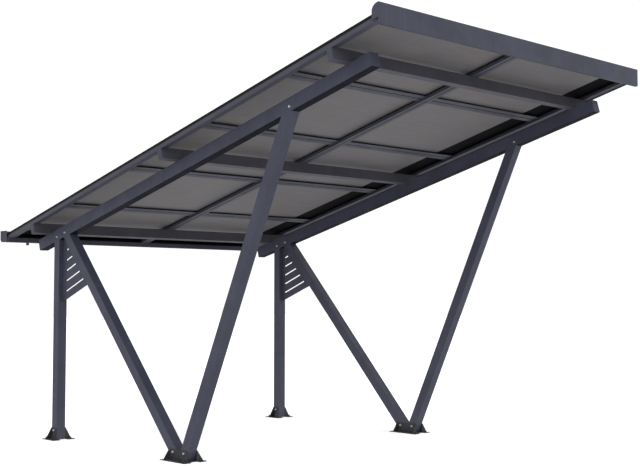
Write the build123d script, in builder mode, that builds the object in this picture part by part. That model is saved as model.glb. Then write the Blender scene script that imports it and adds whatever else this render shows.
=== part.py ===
from build123d import *

import os
from math import atan, cos, degrees, radians, sin, tan

# A cantilever carport in millimetres. +Z is up, -Y is the high front and +Y the low rear.
# X = 0 is the middle of the two side frames and Z = 0 is the ground under the feet.

# Roof pitch and the two side frames
ROOF_PITCH = 14.75
FRAME_SPACING = 3190.0
TUBE_SIZE = 100.0
TUBE_WALL = 4.0
POST_HEIGHT = 2139.0

# Rafters, along the slope from the front face of the rear posts
RAFTER_DEPTH = 120.0
RAFTER_LOW_OVERHANG = 416.0

# V struts, as distances in front of the front face of the rear posts
V_FOOT_REACH = 2160.0
STRUT_SPLAY = 26.0
REAR_STRUT_TOP_REACH = 142.0
FRONT_STRUT_TOP_REACH = 3621.0

# Foot shoes
SHOE_PLATE = 6.0
SHOE_FLANGE_OUTREACH = 82.0
SHOE_RIB_TOE = 6.0
ANCHOR_HOLE = 14.0
ANCHOR_INSET = 37.0
POST_SHOE_LENGTH = 240.0
POST_SHOE_HEIGHT = 125.0
POST_ANCHOR_SPACING = 170.0
V_SHOE_LENGTH = 380.0
V_SHOE_HEIGHT = 105.0
V_SHOE_RIB_SPACING = 286.0
V_SHOE_SETBACK = 10.0
V_ANCHOR_SPACING = 140.0

# Gusset panels between the rear posts and the rear struts
GUSSET_PLATE = 4.0
GUSSET_POST_LENGTH = 675.0
GUSSET_BOTTOM_RISE = 0.385
GUSSET_STRIP_WIDTH = 40.0
GUSSET_STRIP_TAIL = 34.0
SLOT_COUNT = 5
SLOT_WIDTH = 14.0
SLOT_PITCH = 110.0
SLOT_RISE = 0.40
SLOT_BOTTOM_MARGIN = 112.0
SLOT_POST_MARGIN = 55.0
SLOT_STRUT_MARGIN = 91.0

# Purlins, the outer two set in from the rafters' ends
PURLIN_DEPTH = 110.0
PURLIN_WIDTH = 60.0
PURLIN_WALL = 3.0
LOW_PURLIN_INSET = 223.0
HIGH_PURLIN_INSET = 243.0
MIDDLE_PURLIN_OFFSET = 22.5

# Roof panels
PANEL_LENGTH = 1770.0
PANEL_WIDTH = 1134.0
PANEL_DEPTH = 25.0
PANEL_SKIN = 5.0
PANEL_FRAME_WALL = 2.5
PANEL_FRAME_FLANGE = 30.0
PANEL_FLANGE_PLATE = 2.0
PANEL_CLEARANCE = 1.0
PANEL_ROWS = 5
ROOF_LOW_OVERHANG = 382.0
ROOF_HIGH_OVERHANG = 338.0

# Rails that carry the panels: the centre and side rails lie on the purlins, and the cross
# rails hang between them
RAIL_DEPTH = 28.0
RAIL_WALL = 3.0
RAIL_SLOT = 10.0
CENTRE_RAIL_WIDTH = 100.0
CENTRE_WEB_WIDTH = 40.0
CROSS_LEDGE_WIDTH = 122.0
CROSS_WEB_WIDTH = 60.0
CAP_OVERLAP = 10.0
CAP_PLATE = 4.0
SIDE_RAIL_WIDTH = 48.0
SIDE_RAIL_LEDGE = 35.0
SIDE_RAIL_LIP = 15.0
SIDE_RAIL_SKIRT = 12.0
SEAL_REBATE_DEPTH = 6.0

# Gutter under the roof's low edge
GUTTER_TUCK = 80.0
GUTTER_FRONT_HEIGHT = 48.0
GUTTER_REAR_HEIGHT = 126.0
GUTTER_DEPTH = 143.0
GUTTER_WALL = 3.0
GUTTER_ROUND = 40.0
GUTTER_LIP = 20.0
SPOUT_DIAMETER = 32.0
SPOUT_WALL = 2.0
SPOUT_DROP = 27.0
SPOUT_FROM_END = 297.0

# Fascia along the roof's high edge
FASCIA_FRONT_GAP = 31.0
FASCIA_OVERLAP = 70.0
FASCIA_DROP = 61.0
FASCIA_FACE_HEIGHT = 167.0
FASCIA_CROWN_RISE = 10.0
FASCIA_CROWN_RUN = 28.0
FASCIA_NOSE_DROP = 53.0
FASCIA_WALL = 3.0

# Gutter and fascia run past the side rails and are closed by end plates
EDGE_OUTREACH = 17.0
END_PLATE = 3.0

FRAME_X = FRAME_SPACING / 2
SLOPE_COS = cos(radians(ROOF_PITCH))
SLOPE_SIN = sin(radians(ROOF_PITCH))
SLOPE_TAN = tan(radians(ROOF_PITCH))
SIDES = {"left": -1, "right": 1}

# Heights over the rafters' undersides, square to the slope
PURLIN_TOP = RAFTER_DEPTH + PURLIN_DEPTH
PANEL_BASE = PURLIN_TOP + RAIL_DEPTH
PANEL_TOP = PANEL_BASE + PANEL_DEPTH
CAP_TOP = PANEL_TOP + CAP_PLATE
CROSS_RAIL_BASE = PANEL_BASE - RAIL_WALL

# Places down the slope, from the front face of the rear posts
ROW_PITCH = PANEL_WIDTH + 2 * PANEL_CLEARANCE + CROSS_WEB_WIDTH
RAIL_LENGTH = PANEL_ROWS * ROW_PITCH - CROSS_WEB_WIDTH
RAIL_LOW_END = RAFTER_LOW_OVERHANG + ROOF_LOW_OVERHANG
RAIL_HIGH_END = RAIL_LOW_END - RAIL_LENGTH
RAFTER_HIGH_END = RAIL_HIGH_END + ROOF_HIGH_OVERHANG
RAFTER_LENGTH = RAFTER_LOW_OVERHANG - RAFTER_HIGH_END
LOW_PURLIN_S = RAFTER_LOW_OVERHANG - LOW_PURLIN_INSET
HIGH_PURLIN_S = RAFTER_HIGH_END + HIGH_PURLIN_INSET
MIDDLE_PURLIN_S = (LOW_PURLIN_S + HIGH_PURLIN_S) / 2 - MIDDLE_PURLIN_OFFSET

# Places across the roof
PANEL_X = CENTRE_WEB_WIDTH / 2 + PANEL_CLEARANCE + PANEL_LENGTH / 2
SIDE_RAIL_INNER_X = PANEL_X + PANEL_LENGTH / 2 + PANEL_CLEARANCE
SIDE_RAIL_OUTER_X = SIDE_RAIL_INNER_X + SIDE_RAIL_WIDTH
EDGE_X = SIDE_RAIL_OUTER_X + EDGE_OUTREACH


def slope_point(s, n):
    """Side-view place (behind the post front, height) of a point s down the slope, n above it."""
    return Vector(s * SLOPE_COS + n * SLOPE_SIN, POST_HEIGHT - s * SLOPE_SIN + n * SLOPE_COS)


def slope_height(u, n):
    """Height at u of the sloping plane that lies n above the rafters' undersides."""
    return POST_HEIGHT + n / SLOPE_COS - u * SLOPE_TAN


# Ends of the rails' undersides, which place the gutter and the fascia
LOW_EDGE = slope_point(RAIL_LOW_END, PURLIN_TOP)
HIGH_EDGE = slope_point(RAIL_HIGH_END, PURLIN_TOP)
GUTTER_FRONT = LOW_EDGE.X - GUTTER_TUCK
GUTTER_REAR = GUTTER_FRONT + GUTTER_DEPTH
FASCIA_FRONT = HIGH_EDGE.X - FASCIA_FRONT_GAP

# The origin stands midway between the fascia's face and the gutter's rear wall
POST_FRONT_Y = -(FASCIA_FRONT + GUTTER_REAR) / 2

# SIDE is drawn (behind the post front, up), ROOF (across, down the slope), and
# ROOF_SIDE (down the slope, square to it)
SIDE = Plane(origin=(0, POST_FRONT_Y, 0), x_dir=(0, 1, 0), z_dir=(1, 0, 0))
ROOF = Plane(origin=(0, POST_FRONT_Y, POST_HEIGHT), x_dir=(1, 0, 0), z_dir=(0, SLOPE_SIN, SLOPE_COS))
ROOF_SIDE = Plane(origin=ROOF.origin, x_dir=(0, SLOPE_COS, -SLOPE_SIN), z_dir=(1, 0, 0))

# Directions in the side view
UP = Vector(0, 1)
LEVEL = Vector(1, 0)
DOWN_SLOPE = Vector(SLOPE_COS, -SLOPE_SIN)
OFF_SLOPE = Vector(SLOPE_SIN, SLOPE_COS)
POST_TOP = Vector(0, POST_HEIGHT)
SHOE_TOP = Vector(0, SHOE_PLATE)
V_MITRE = Vector(-V_FOOT_REACH, 0)


def roof_section(s):
    """Plane square to the slope at s, drawn (across, square to the slope), facing up the slope."""
    start = slope_point(s, 0)
    origin = (0, POST_FRONT_Y + start.X, start.Y)
    return Plane(origin=origin, x_dir=(1, 0, 0), z_dir=(0, -SLOPE_COS, SLOPE_SIN))


def meet(point, direction, other_point, other_direction):
    """Crossing of two straight lines in the side view."""
    gap = other_point - point
    turn = direction.X * other_direction.Y - direction.Y * other_direction.X
    along = (gap.X * other_direction.Y - gap.Y * other_direction.X) / turn
    return point + direction * along


def save(piece, name):
    piece.part.label = name
    export_step(piece.part, f"parts/{name}.step")


def side_tube(centre_x, outline, bore):
    """A member of a side frame: its side outline, with a bore that runs out at both ends."""
    with BuildPart() as tube:
        with BuildSketch(SIDE.offset(centre_x)):
            with BuildLine():
                Polyline(*outline, close=True)
            make_face()
        extrude(amount=TUBE_SIZE / 2, both=True)
        with BuildSketch(SIDE.offset(centre_x)):
            with BuildLine():
                Polyline(*bore, close=True)
            make_face()
        extrude(amount=TUBE_SIZE / 2 - TUBE_WALL, both=True, mode=Mode.SUBTRACT)
    return tube


# Rear posts stand in their shoes and are cut to the rafters' undersides
def rear_post(centre_x):
    rear = TUBE_SIZE
    outline = [(0, SHOE_PLATE), (rear, SHOE_PLATE), (rear, slope_height(rear, 0)), (0, POST_HEIGHT)]
    bore_front = TUBE_WALL
    bore_rear = TUBE_SIZE - TUBE_WALL
    bore = [(bore_front, 0), (bore_rear, 0), (bore_rear, POST_HEIGHT), (bore_front, POST_HEIGHT)]
    return side_tube(centre_x, outline, bore)


# Struts of the V. Their lean is 1 for the rear strut and -1 for the front one
def strut_axis(lean, top_reach):
    foot = V_MITRE + LEVEL * (lean * STRUT_SPLAY)
    top = Vector(-top_reach, slope_height(-top_reach, 0))
    run = (top - foot).normalized()
    outward = Vector(run.Y, -run.X) * lean
    return foot, run, outward


def strut(centre_x, lean, top_reach):
    foot, run, outward = strut_axis(lean, top_reach)
    outer = foot + outward * (TUBE_SIZE / 2)
    inner = foot - outward * (TUBE_SIZE / 2)
    outline = [
        meet(outer, run, SHOE_TOP, LEVEL),
        meet(outer, run, POST_TOP, DOWN_SLOPE),
        meet(inner, run, POST_TOP, DOWN_SLOPE),
        meet(inner, run, V_MITRE, UP),
        meet(V_MITRE, UP, SHOE_TOP, LEVEL),
    ]
    bore_edge = outward * (TUBE_SIZE / 2 - TUBE_WALL)
    run_out = run * (2 * TUBE_SIZE)
    bore_low = foot - run_out
    bore_high = meet(foot, run, POST_TOP, DOWN_SLOPE) + run_out
    bore = [bore_low + bore_edge, bore_high + bore_edge, bore_high - bore_edge, bore_low - bore_edge]
    return side_tube(centre_x, outline, bore)


# Foot shoes: a strip under the member, a plate up each cheek, and a ribbed flange each side
def shoe(centre_x, centre_u, length, rib_spacing, height, anchor_spacing):
    cheek = TUBE_SIZE / 2
    cheek_middle = cheek + SHOE_PLATE / 2
    flange_middle = cheek + SHOE_FLANGE_OUTREACH / 2
    tip = cheek + SHOE_FLANGE_OUTREACH
    ground = Plane(origin=(centre_x, POST_FRONT_Y + centre_u, 0))
    with BuildPart() as foot:
        with BuildSketch(ground):
            Rectangle(2 * (cheek + SHOE_PLATE), rib_spacing)
            with GridLocations(2 * flange_middle, 0, 2, 1):
                Rectangle(SHOE_FLANGE_OUTREACH, length)
            with GridLocations(2 * (tip - ANCHOR_INSET), anchor_spacing, 2, 2):
                Circle(ANCHOR_HOLE / 2, mode=Mode.SUBTRACT)
        extrude(amount=SHOE_PLATE)
        with BuildSketch(ground):
            with GridLocations(2 * cheek_middle, 0, 2, 1):
                Rectangle(SHOE_PLATE, rib_spacing)
        extrude(amount=height)
        for end in (-1, 1):
            rib_u = centre_u + end * (rib_spacing - SHOE_PLATE) / 2
            rib_plane = Plane(origin=(centre_x, POST_FRONT_Y + rib_u, 0), x_dir=(1, 0, 0), z_dir=(0, -1, 0))
            with BuildSketch(rib_plane):
                with BuildLine():
                    foot_in = (cheek + SHOE_PLATE, SHOE_PLATE)
                    foot_out = (tip - SHOE_RIB_TOE, SHOE_PLATE)
                    Polyline(foot_in, foot_out, (cheek + SHOE_PLATE, height), close=True)
                make_face()
                mirror(about=Plane.YZ)
            extrude(amount=SHOE_PLATE / 2, both=True)
    return foot


# Gusset panels: a slotted plate in the frame's middle plane, with a fixing strip along the
# front face of the post and along the rear face of the strut
def gusset(centre_x):
    foot, run, outward = strut_axis(1, REAR_STRUT_TOP_REACH)
    edge = foot + outward * (TUBE_SIZE / 2)
    post_corner = POST_TOP - UP * GUSSET_POST_LENGTH
    strut_corner = meet(edge, run, post_corner, Vector(1, -GUSSET_BOTTOM_RISE))
    strut_top = meet(edge, run, POST_TOP, DOWN_SLOPE)
    strip_edge = edge + outward * GUSSET_PLATE
    post_tail = post_corner - UP * GUSSET_STRIP_TAIL
    strut_tail = strut_corner - run * GUSSET_STRIP_TAIL
    post_strip = [
        post_tail,
        POST_TOP,
        Vector(-GUSSET_PLATE, slope_height(-GUSSET_PLATE, 0)),
        post_tail - LEVEL * GUSSET_PLATE,
    ]
    strut_strip = [
        strut_tail,
        strut_top,
        meet(strip_edge, run, POST_TOP, DOWN_SLOPE),
        strut_tail + outward * GUSSET_PLATE,
    ]
    slot_run = Vector(1, -SLOT_RISE)
    with BuildPart() as panel:
        with BuildSketch(SIDE.offset(centre_x)):
            with BuildLine():
                Polyline(post_corner, POST_TOP, strut_top, strut_corner, close=True)
            make_face()
            for row in range(SLOT_COUNT):
                post_end = post_corner + Vector(-SLOT_POST_MARGIN, SLOT_BOTTOM_MARGIN + row * SLOT_PITCH)
                strut_end = meet(post_end, slot_run, edge + LEVEL * SLOT_STRUT_MARGIN, run)
                with Locations((post_end + strut_end) / 2):
                    SlotOverall(
                        (post_end - strut_end).length,
                        SLOT_WIDTH,
                        rotation=-degrees(atan(SLOT_RISE)),
                        mode=Mode.SUBTRACT,
                    )
        extrude(amount=GUSSET_PLATE / 2, both=True)
        with BuildSketch(SIDE.offset(centre_x)):
            for strip in (post_strip, strut_strip):
                with BuildLine():
                    Polyline(*strip, close=True)
                make_face()
        extrude(amount=GUSSET_STRIP_WIDTH / 2, both=True)
    return panel


# Rafters on the posts and struts
def rafter(centre_x):
    with BuildPart() as beam:
        with BuildSketch(roof_section(RAFTER_LOW_OVERHANG)):
            with Locations((centre_x, RAFTER_DEPTH / 2)):
                Rectangle(TUBE_SIZE, RAFTER_DEPTH)
                bore_width = TUBE_SIZE - 2 * TUBE_WALL
                Rectangle(bore_width, RAFTER_DEPTH - 2 * TUBE_WALL, mode=Mode.SUBTRACT)
        extrude(amount=RAFTER_LENGTH)
    return beam


# Purlins across the rafters, out to the skirts of the side rails
def purlin(centre_s):
    with BuildPart() as beam:
        with BuildSketch(ROOF_SIDE):
            with Locations((centre_s, RAFTER_DEPTH + PURLIN_DEPTH / 2)):
                Rectangle(PURLIN_WIDTH, PURLIN_DEPTH)
                bore_width = PURLIN_WIDTH - 2 * PURLIN_WALL
                Rectangle(bore_width, PURLIN_DEPTH - 2 * PURLIN_WALL, mode=Mode.SUBTRACT)
        extrude(amount=SIDE_RAIL_OUTER_X - RAIL_WALL, both=True)
    return beam


def rail_plate(middle, width, bottom, top, mode=Mode.ADD):
    """Part of a rail's section, between two heights over the rafters' undersides."""
    with Locations((middle, (bottom + top) / 2)):
        Rectangle(width, top - bottom, mode=mode)


def rail_box(middle, width, bottom, top):
    """Hollow part of a rail's section."""
    rail_plate(middle, width, bottom, top)
    rail_plate(middle, width - 2 * RAIL_WALL, bottom + RAIL_WALL, top - RAIL_WALL, Mode.SUBTRACT)


def rail_channel(middle, width, bottom, top):
    """Part of a rail's section that is open downwards over its full width."""
    rail_plate(middle, width, bottom, top)
    rail_plate(middle, width - 2 * RAIL_WALL, bottom, top - RAIL_WALL, Mode.SUBTRACT)


def rail_slot(middle, bottom):
    """Slot that opens the underside of a rail's hollow."""
    rail_plate(middle, RAIL_SLOT, bottom, bottom + RAIL_WALL, Mode.SUBTRACT)


# Side rails: a box under the panels' ends, a smaller one beside them with a rebate for a seal,
# a lip over them, and a skirt that covers the purlins' ends
def side_rail(sign):
    box_width = SIDE_RAIL_LEDGE + SIDE_RAIL_WIDTH
    box_x = sign * (SIDE_RAIL_OUTER_X - box_width / 2)
    shoulder_width = SIDE_RAIL_WIDTH - SEAL_REBATE_DEPTH
    shoulder_x = sign * (SIDE_RAIL_INNER_X + shoulder_width / 2)
    skirt_x = sign * (SIDE_RAIL_OUTER_X - RAIL_WALL / 2)
    skirt_low_end = RAIL_LOW_END - GUTTER_TUCK / SLOPE_COS
    skirt_high_end = RAIL_HIGH_END + SIDE_RAIL_SKIRT * SLOPE_TAN
    with BuildPart() as rail:
        with BuildSketch(roof_section(RAIL_LOW_END)):
            rail_box(box_x, box_width, PURLIN_TOP, PANEL_BASE)
            rail_box(shoulder_x, shoulder_width, PANEL_BASE, PANEL_TOP)
            rail_plate(sign * SIDE_RAIL_INNER_X, 2 * SIDE_RAIL_LIP, PANEL_TOP, CAP_TOP)
        extrude(amount=RAIL_LENGTH)
        with BuildSketch(roof_section(skirt_low_end)):
            rail_plate(skirt_x, RAIL_WALL, PURLIN_TOP - SIDE_RAIL_SKIRT, PURLIN_TOP)
        extrude(amount=skirt_low_end - skirt_high_end)
    return rail


# Centre rail: a slotted box on the purlins, with a web and a cap between the panels
def centre_rail():
    with BuildPart() as rail:
        with BuildSketch(roof_section(RAIL_LOW_END)):
            rail_box(0, CENTRE_RAIL_WIDTH, PURLIN_TOP, PANEL_BASE)
            rail_slot(0, PURLIN_TOP)
            rail_box(0, CENTRE_WEB_WIDTH, PANEL_BASE, PANEL_TOP)
            rail_plate(0, CENTRE_WEB_WIDTH + 2 * CAP_OVERLAP, PANEL_TOP, CAP_TOP)
        extrude(amount=RAIL_LENGTH)
    return rail


# Cross rails between the rows of panels, each in two halves that butt against the centre rail
def cross_rail(centre_s):
    ledge_start = CENTRE_RAIL_WIDTH / 2
    ledge_end = SIDE_RAIL_INNER_X - SIDE_RAIL_LEDGE
    web_start = CENTRE_WEB_WIDTH / 2
    web_end = SIDE_RAIL_INNER_X
    cap_start = web_start + CAP_OVERLAP
    cap_end = SIDE_RAIL_INNER_X - SIDE_RAIL_LIP
    with BuildPart() as rail:
        for side in (-1, 1):
            with BuildSketch(ROOF_SIDE.offset(side * ledge_start)):
                rail_plate(centre_s, CROSS_LEDGE_WIDTH, CROSS_RAIL_BASE, PANEL_BASE)
                rail_box(centre_s, CROSS_WEB_WIDTH, CROSS_RAIL_BASE, PANEL_TOP)
                rail_slot(centre_s, CROSS_RAIL_BASE)
            extrude(amount=side * (ledge_end - ledge_start))
            for start, end in ((web_start, ledge_start), (ledge_end, web_end)):
                with BuildSketch(ROOF_SIDE.offset(side * start)):
                    rail_channel(centre_s, CROSS_WEB_WIDTH, PANEL_BASE, PANEL_TOP)
                extrude(amount=side * (end - start))
            with BuildSketch(ROOF_SIDE.offset(side * cap_start)):
                rail_plate(centre_s, CROSS_WEB_WIDTH + 2 * CAP_OVERLAP, PANEL_TOP, CAP_TOP)
            extrude(amount=side * (cap_end - cap_start))
    return rail


# Roof panels: a skin on a frame whose bottom flange turns inwards
def roof_panel(centre_x, centre_s):
    inner_length = PANEL_LENGTH - 2 * PANEL_FRAME_WALL
    inner_width = PANEL_WIDTH - 2 * PANEL_FRAME_WALL
    open_length = PANEL_LENGTH - 2 * PANEL_FRAME_FLANGE
    open_width = PANEL_WIDTH - 2 * PANEL_FRAME_FLANGE
    hollow_base = PANEL_BASE + PANEL_FLANGE_PLATE
    with BuildPart() as panel:
        with BuildSketch(ROOF.offset(PANEL_BASE)):
            with Locations((centre_x, centre_s)):
                Rectangle(PANEL_LENGTH, PANEL_WIDTH)
                Rectangle(open_length, open_width, mode=Mode.SUBTRACT)
        extrude(amount=PANEL_FLANGE_PLATE)
        with BuildSketch(ROOF.offset(hollow_base)):
            with Locations((centre_x, centre_s)):
                Rectangle(PANEL_LENGTH, PANEL_WIDTH)
                Rectangle(inner_length, inner_width, mode=Mode.SUBTRACT)
        extrude(amount=PANEL_DEPTH - PANEL_FLANGE_PLATE - PANEL_SKIN)
        with BuildSketch(ROOF.offset(PANEL_TOP - PANEL_SKIN)):
            with Locations((centre_x, centre_s)):
                Rectangle(PANEL_LENGTH, PANEL_WIDTH)
        extrude(amount=PANEL_SKIN)
    return panel


# Gutter: a trough under the roof's low edge, with a high rear wall and a lip under the rails
GUTTER_FRONT_TOP = slope_height(GUTTER_FRONT, PURLIN_TOP)
GUTTER_BOTTOM = GUTTER_FRONT_TOP - GUTTER_FRONT_HEIGHT
GUTTER_TOP = GUTTER_BOTTOM + GUTTER_REAR_HEIGHT
SPOUT_MIDDLE = (SPOUT_FROM_END - EDGE_X, POST_FRONT_Y + GUTTER_FRONT + GUTTER_DEPTH / 2)
SPOUT_BORE_RADIUS = SPOUT_DIAMETER / 2 - SPOUT_WALL
INNER_FRONT = GUTTER_FRONT + GUTTER_WALL
INNER_REAR = GUTTER_REAR - GUTTER_WALL
INNER_BOTTOM = GUTTER_BOTTOM + GUTTER_WALL
ROUND_U = GUTTER_REAR - GUTTER_ROUND
ROUND_Z = GUTTER_BOTTOM + GUTTER_ROUND


def edge_strip(outline):
    """A strip along the roof's edge, from an outline in the side view."""
    with BuildPart() as strip:
        with BuildSketch(SIDE.offset(-EDGE_X)):
            with BuildLine():
                outline()
            make_face()
        extrude(amount=2 * EDGE_X)
    return strip


def gutter_front_outline():
    inner_top = slope_height(INNER_FRONT, PURLIN_TOP) - GUTTER_WALL
    lip_end = GUTTER_FRONT + GUTTER_LIP
    lip_top = slope_height(lip_end, PURLIN_TOP)
    Polyline(
        (GUTTER_FRONT, GUTTER_BOTTOM),
        (GUTTER_FRONT, GUTTER_FRONT_TOP),
        (lip_end, lip_top),
        (lip_end, lip_top - GUTTER_WALL),
        (INNER_FRONT, inner_top),
        (INNER_FRONT, GUTTER_BOTTOM),
        close=True,
    )


def gutter_corner_outline():
    Line((ROUND_U, INNER_BOTTOM), (ROUND_U, GUTTER_BOTTOM))
    TangentArc((ROUND_U, GUTTER_BOTTOM), (GUTTER_REAR, ROUND_Z), tangent=(1, 0))
    Line((GUTTER_REAR, ROUND_Z), (INNER_REAR, ROUND_Z))
    TangentArc((INNER_REAR, ROUND_Z), (ROUND_U, INNER_BOTTOM), tangent=(0, -1))


def gutter_rear_outline():
    Polyline(
        (INNER_REAR, ROUND_Z),
        (INNER_REAR, GUTTER_TOP),
        (GUTTER_REAR, GUTTER_TOP),
        (GUTTER_REAR, ROUND_Z),
        close=True,
    )


def gutter_floor():
    floor_y = POST_FRONT_Y + (INNER_FRONT + ROUND_U) / 2
    with BuildPart() as floor:
        with BuildSketch(Plane(origin=(0, floor_y, GUTTER_BOTTOM))):
            Rectangle(2 * EDGE_X, ROUND_U - INNER_FRONT)
        extrude(amount=GUTTER_WALL)
        with BuildSketch(Plane(origin=(*SPOUT_MIDDLE, GUTTER_BOTTOM))):
            Circle(SPOUT_BORE_RADIUS)
        extrude(amount=GUTTER_WALL, mode=Mode.SUBTRACT)
    return floor


def gutter_spout():
    with BuildPart() as spout:
        with BuildSketch(Plane(origin=(*SPOUT_MIDDLE, GUTTER_BOTTOM - SPOUT_DROP))):
            Circle(SPOUT_DIAMETER / 2)
            Circle(SPOUT_BORE_RADIUS, mode=Mode.SUBTRACT)
        extrude(amount=SPOUT_DROP)
    return spout


def end_plate(sign, outline):
    """Plate that closes the gutter or the fascia, from an outline in the side view."""
    with BuildPart() as plate:
        with BuildSketch(SIDE.offset(sign * EDGE_X)):
            with BuildLine():
                outline()
            make_face()
        extrude(amount=sign * END_PLATE)
    return plate


def gutter_outline():
    Polyline(
        (GUTTER_REAR, ROUND_Z),
        (GUTTER_REAR, GUTTER_TOP),
        (GUTTER_FRONT, GUTTER_TOP),
        (GUTTER_FRONT, GUTTER_BOTTOM),
        (ROUND_U, GUTTER_BOTTOM),
    )
    TangentArc((ROUND_U, GUTTER_BOTTOM), (GUTTER_REAR, ROUND_Z), tangent=(1, 0))


# Fascia: a hollow section that sits on the rails' lips and caps and butts against the rails'
# high ends, with a bull-nose over the panels. Its end plates reach down beside the side rails
FASCIA_REAR = HIGH_EDGE.X + FASCIA_OVERLAP
FASCIA_BOTTOM = HIGH_EDGE.Y - FASCIA_DROP
FASCIA_FACE_TOP = FASCIA_BOTTOM + FASCIA_FACE_HEIGHT
FASCIA_TOP = FASCIA_FACE_TOP + FASCIA_CROWN_RISE


def fascia_outline(inset=0):
    front = FASCIA_FRONT + inset
    rear = FASCIA_REAR - inset
    foot = (HIGH_EDGE.X - inset, FASCIA_BOTTOM + inset)
    crown = (FASCIA_FRONT + FASCIA_CROWN_RUN, FASCIA_TOP - inset)
    nose_end = (rear, FASCIA_TOP - FASCIA_NOSE_DROP)
    seat = Vector(rear, slope_height(rear, CAP_TOP + inset))
    butt = slope_point(RAIL_HIGH_END - inset, CAP_TOP)
    inner_corner = meet(butt, OFF_SLOPE, seat, DOWN_SLOPE)
    butt_foot = meet(butt, OFF_SLOPE, Vector(*foot), UP)
    Polyline(
        nose_end,
        seat,
        inner_corner,
        butt_foot,
        foot,
        (front, FASCIA_BOTTOM + inset),
        (front, FASCIA_FACE_TOP),
        crown,
    )
    TangentArc(crown, nose_end, tangent=(1, 0))


def fascia_end_outline():
    crown = (FASCIA_FRONT + FASCIA_CROWN_RUN, FASCIA_TOP)
    nose_end = (FASCIA_REAR, FASCIA_TOP - FASCIA_NOSE_DROP)
    Polyline(
        nose_end,
        (FASCIA_REAR, slope_height(FASCIA_REAR, PURLIN_TOP)),
        HIGH_EDGE,
        (HIGH_EDGE.X, FASCIA_BOTTOM),
        (FASCIA_FRONT, FASCIA_BOTTOM),
        (FASCIA_FRONT, FASCIA_FACE_TOP),
        crown,
    )
    TangentArc(crown, nose_end, tangent=(1, 0))


def front_fascia():
    with BuildPart() as fascia:
        with BuildSketch(SIDE.offset(-EDGE_X)):
            with BuildLine():
                fascia_outline()
            make_face()
            with BuildLine():
                fascia_outline(FASCIA_WALL)
            make_face(mode=Mode.SUBTRACT)
        extrude(amount=2 * EDGE_X)
    return fascia


os.makedirs("parts", exist_ok=True)

# The two side frames
POST_SHOE = (TUBE_SIZE / 2, POST_SHOE_LENGTH, TUBE_SIZE, POST_SHOE_HEIGHT, POST_ANCHOR_SPACING)
V_SHOE_U = V_SHOE_SETBACK - V_FOOT_REACH
V_SHOE = (V_SHOE_U, V_SHOE_LENGTH, V_SHOE_RIB_SPACING, V_SHOE_HEIGHT, V_ANCHOR_SPACING)
for side, sign in SIDES.items():
    frame_x = sign * FRAME_X
    save(shoe(frame_x, *POST_SHOE), f"{side}_post_foot")
    save(shoe(frame_x, *V_SHOE), f"{side}_v_foot")
    save(rear_post(frame_x), f"{side}_rear_post")
    save(strut(frame_x, 1, REAR_STRUT_TOP_REACH), f"{side}_rear_strut")
    save(strut(frame_x, -1, FRONT_STRUT_TOP_REACH), f"{side}_front_strut")
    save(gusset(frame_x), f"{side}_gusset_panel")
    save(rafter(frame_x), f"{side}_rafter")

# The roof's purlins and rails
save(purlin(LOW_PURLIN_S), "low_purlin")
save(purlin(MIDDLE_PURLIN_S), "middle_purlin")
save(purlin(HIGH_PURLIN_S), "high_purlin")
save(centre_rail(), "centre_rail")
for side, sign in SIDES.items():
    save(side_rail(sign), f"{side}_side_rail")
for joint in range(1, PANEL_ROWS):
    save(cross_rail(RAIL_LOW_END - joint * ROW_PITCH + CROSS_WEB_WIDTH / 2), f"cross_rail_{joint}")

# Roof panels, numbered from the low edge
for row in range(PANEL_ROWS):
    panel_s = RAIL_LOW_END - PANEL_CLEARANCE - row * ROW_PITCH - PANEL_WIDTH / 2
    for side, sign in SIDES.items():
        save(roof_panel(sign * PANEL_X, panel_s), f"roof_panel_{side}_{row + 1}")

# Gutter and fascia with their end plates
save(edge_strip(gutter_front_outline), "gutter_front_wall")
save(gutter_floor(), "gutter_floor")
save(edge_strip(gutter_corner_outline), "gutter_corner")
save(edge_strip(gutter_rear_outline), "gutter_rear_wall")
save(gutter_spout(), "gutter_spout")
save(front_fascia(), "front_fascia")
for side, sign in SIDES.items():
    save(end_plate(sign, gutter_outline), f"gutter_end_{side}")
    save(end_plate(sign, fascia_end_outline), f"fascia_end_{side}")
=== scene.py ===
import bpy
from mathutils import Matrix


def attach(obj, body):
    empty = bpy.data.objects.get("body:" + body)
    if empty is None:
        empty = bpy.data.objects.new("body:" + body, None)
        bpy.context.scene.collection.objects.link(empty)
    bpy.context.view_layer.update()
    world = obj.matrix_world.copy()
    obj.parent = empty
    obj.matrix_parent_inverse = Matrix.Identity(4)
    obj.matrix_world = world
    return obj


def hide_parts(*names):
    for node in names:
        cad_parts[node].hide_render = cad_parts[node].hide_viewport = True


bl_info = {
    "name": "Carport",
    "version": (1, 0, 0),
    "blender": (4, 5, 0),
    "location": "View3D > Sidebar > Carport",
    "description": "Finishes for an open carport with a photovoltaic roof, and a plain studio",
    "category": "Object",
}

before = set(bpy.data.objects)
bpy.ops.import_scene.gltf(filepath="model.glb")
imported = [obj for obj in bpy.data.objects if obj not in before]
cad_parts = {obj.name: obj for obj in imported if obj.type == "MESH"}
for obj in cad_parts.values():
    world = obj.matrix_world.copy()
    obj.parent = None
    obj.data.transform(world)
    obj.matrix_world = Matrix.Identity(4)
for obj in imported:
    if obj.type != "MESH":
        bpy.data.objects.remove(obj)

from math import radians, sqrt

import bmesh
import bpy
from bpy.props import FloatProperty, FloatVectorProperty, PointerProperty
from mathutils import Matrix, Vector

# The roof's slope: its origin is the front face of the rear posts at the rafters' undersides
PITCH = radians(14.75)
POST_FRONT_Y = 2.016195
POST_HEIGHT = 2.139
SLOPE = Matrix.Translation((0, POST_FRONT_Y, POST_HEIGHT)) @ Matrix.Rotation(-PITCH, 4, "X")

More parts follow.
